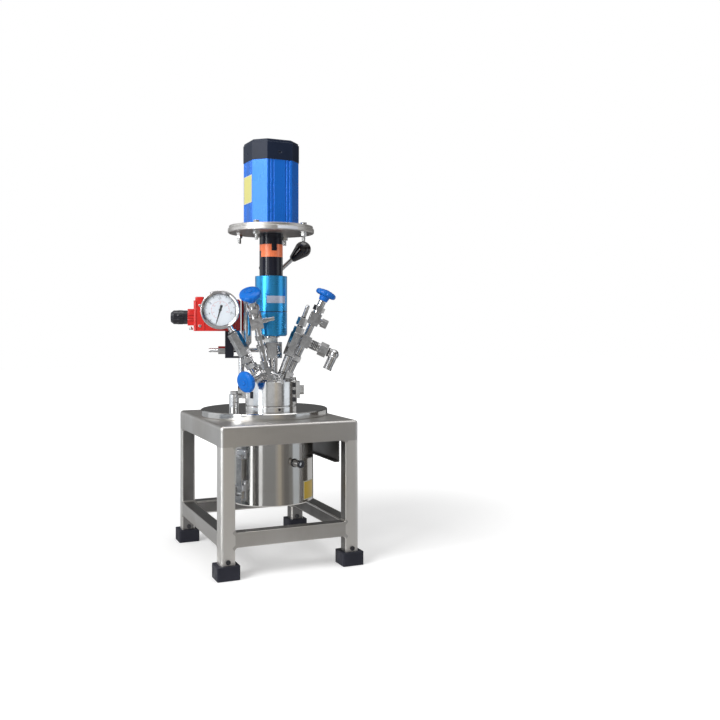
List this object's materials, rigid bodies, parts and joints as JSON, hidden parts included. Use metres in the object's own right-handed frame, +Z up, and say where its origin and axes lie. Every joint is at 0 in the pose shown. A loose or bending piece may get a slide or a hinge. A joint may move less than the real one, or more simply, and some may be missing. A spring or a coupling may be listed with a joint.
{
  "type": "bench bioreactor",
  "caption": "Bench bioreactor: stainless vessel with split ring, magnetic stirrer drive, motor, gauge and needle valves, hung in an electric heater on a square-tube stand.",
  "frame": {"origin": "on the floor at the centre of the rectangle of the four feet", "axes": "+X to the right and +Y to the back as seen from the front, +Z up along the stirring axis"},
  "size_m": [0.2991, 0.32, 0.748],
  "materials": {
    "satin_steel": "bead-blasted stainless, satin",
    "polished_steel": "polished stainless",
    "fitting_steel": "turned stainless fittings",
    "screw_steel": "plated screws",
    "black_screw": "blackened steel",
    "bearing_steel": "ground bearing steel",
    "foot_rubber": "black moulded rubber",
    "gasket_white": "white fluoropolymer",
    "wool": "mineral fibre",
    "liner_aluminium": "plain",
    "black_coat": "satin black coating",
    "knob_black": "gloss black",
    "motor_blue": "satin blue paint",
    "motor_black": "satin blue-black",
    "drive_blue": "blue anodised",
    "orange_elastomer": "orange elastomer",
    "case_steel": "polished stainless case",
    "dial_white": "white dial",
    "gauge_glass": "clear flat glass",
    "pointer_black": "black",
    "coil_red": "gloss red",
    "gland_black": "black nylon",
    "wheel_blue": "gloss blue"
  },
  "bodies": {
    "stand": {"stand_frame": "satin_steel", "feet": "foot_rubber", "stand_screws": "black_screw", "base_disc": "polished_steel", "vessel": "polished_steel", "head_gasket": "gasket_white", "head": "fitting_steel", "ring_front": "polished_steel", "ring_rear": "polished_steel", "ring_bolts": "screw_steel", "heater_jacket": "polished_steel", "heater_pan": "polished_steel", "heater_insulation": "wool", "heater_liner": "liner_aluminium", "heater_socket": "black_coat", "latch_plates": "screw_steel", "column": "polished_steel", "drive_housing": "drive_blue", "drive_neck": "fitting_steel", "drive_bearings": "bearing_steel", "gauge_case": "case_steel", "gauge_dial": "dial_white", "gauge_glass": "gauge_glass", "gauge_adaptor": "fitting_steel", "coil_box": "coil_red", "cable_gland": "gland_black", "coil_bracket": "black_coat", "solenoid_body": "fitting_steel", "bracket_post": "fitting_steel", "filter_tube": "polished_steel", "gas_valve_body": "fitting_steel", "vent_valve_body": "fitting_steel", "sample_valve_body": "fitting_steel", "relief_elbow": "fitting_steel", "thermowell": "fitting_steel", "cooling_loop": "fitting_steel"},
    "motor_unit": {"motor_carrier": "black_coat", "motor_plate": "satin_steel", "motor_fasteners": "screw_steel", "motor_body": "motor_blue", "motor_cap": "motor_black", "motor_bearings": "bearing_steel"},
    "motor_shaft": {"motor_rotor": "bearing_steel", "upper_hub": "black_coat"},
    "drive_shaft": {"drive_rotor": "bearing_steel", "lower_hub": "black_coat", "spider": "orange_elastomer"},
    "agitator": {"agitator_shaft": "polished_steel", "impeller": "polished_steel"},
    "clamp": {"clamp_lever": "screw_steel", "lever_knob": "knob_black"},
    "latch_handle": {"latch_lever": "screw_steel"},
    "latch_loop": {"latch_bail": "screw_steel"},
    "pointer": {"gauge_pointer": "pointer_black"},
    "gas_wheel": {"gas_valve_stem": "screw_steel", "gas_valve_wheel": "wheel_blue"},
    "vent_wheel": {"vent_valve_stem": "screw_steel", "vent_valve_wheel": "wheel_blue"},
    "sample_wheel": {"sample_valve_stem": "screw_steel", "sample_valve_wheel": "wheel_blue"}
  },
  "joints": [
    {"name": "motor_lift", "type": "slide", "parent": "stand", "child": "motor_unit", "axis": [0, 0, 1], "range_m": [0, 0.05]},
    {"name": "motor_spin", "type": "hinge", "parent": "motor_unit", "child": "motor_shaft", "pos_m": [-0.002, -0.0465, 0.65], "axis": [0, 0, 1], "continuous": true},
    {"name": "drive_spin", "type": "hinge", "parent": "stand", "child": "drive_shaft", "pos_m": [-0.002, -0.0465, 0.5], "axis": [0, 0, 1], "continuous": true},
    {"name": "agitator_spin", "type": "hinge", "parent": "stand", "child": "agitator", "pos_m": [-0.002, -0.0465, 0.3], "axis": [0, 0, 1], "continuous": true},
    {"name": "clamp_turn", "type": "hinge", "parent": "motor_unit", "child": "clamp", "pos_m": [0.02905, 0.02963, 0.514], "axis": [0.309, 0.9511, 0], "range_deg": [0, 90]},
    {"name": "latch_open", "type": "hinge", "parent": "stand", "child": "latch_handle", "pos_m": [-0.07215, -0.087, 0.138], "axis": [-0.5, 0.866, 0], "range_deg": [0, 110]},
    {"name": "loop_swing", "type": "hinge", "parent": "latch_handle", "child": "latch_loop", "pos_m": [-0.07345, -0.08775, 0.128], "axis": [-0.5, 0.866, 0], "range_deg": [-110, 0]},
    {"name": "pressure_pointer", "type": "hinge", "parent": "stand", "child": "pointer", "pos_m": [-0.0956, -0.04342, 0.44667], "axis": [0.309, 0.9511, 0], "range_deg": [0, 270], "stiffness_Nm_per_rad": 0.00002},
    {"name": "gas_turn", "type": "hinge", "parent": "stand", "child": "gas_wheel", "pos_m": [-0.05143, -0.09606, 0.45231], "axis": [-0.3392, -0.4929, 0.8013], "range_deg": [0, 1080]},
    {"name": "vent_turn", "type": "hinge", "parent": "stand", "child": "vent_wheel", "pos_m": [0.08863, -0.06333, 0.45795], "axis": [0.4019, -0.1306, 0.9063], "range_deg": [0, 1080]},
    {"name": "sample_turn", "type": "hinge", "parent": "stand", "child": "sample_wheel", "pos_m": [-0.04342, -0.08682, 0.32787], "axis": [-0.8517, -0.4576, -0.2552], "range_deg": [0, 1080]}
  ],
  "couplings": [
    {"joint": "drive_spin", "follows": "motor_spin", "ratio": 1},
    {"joint": "agitator_spin", "follows": "motor_spin", "ratio": 1},
    {"joint": "loop_swing", "follows": "latch_open", "ratio": -1}
  ]
}
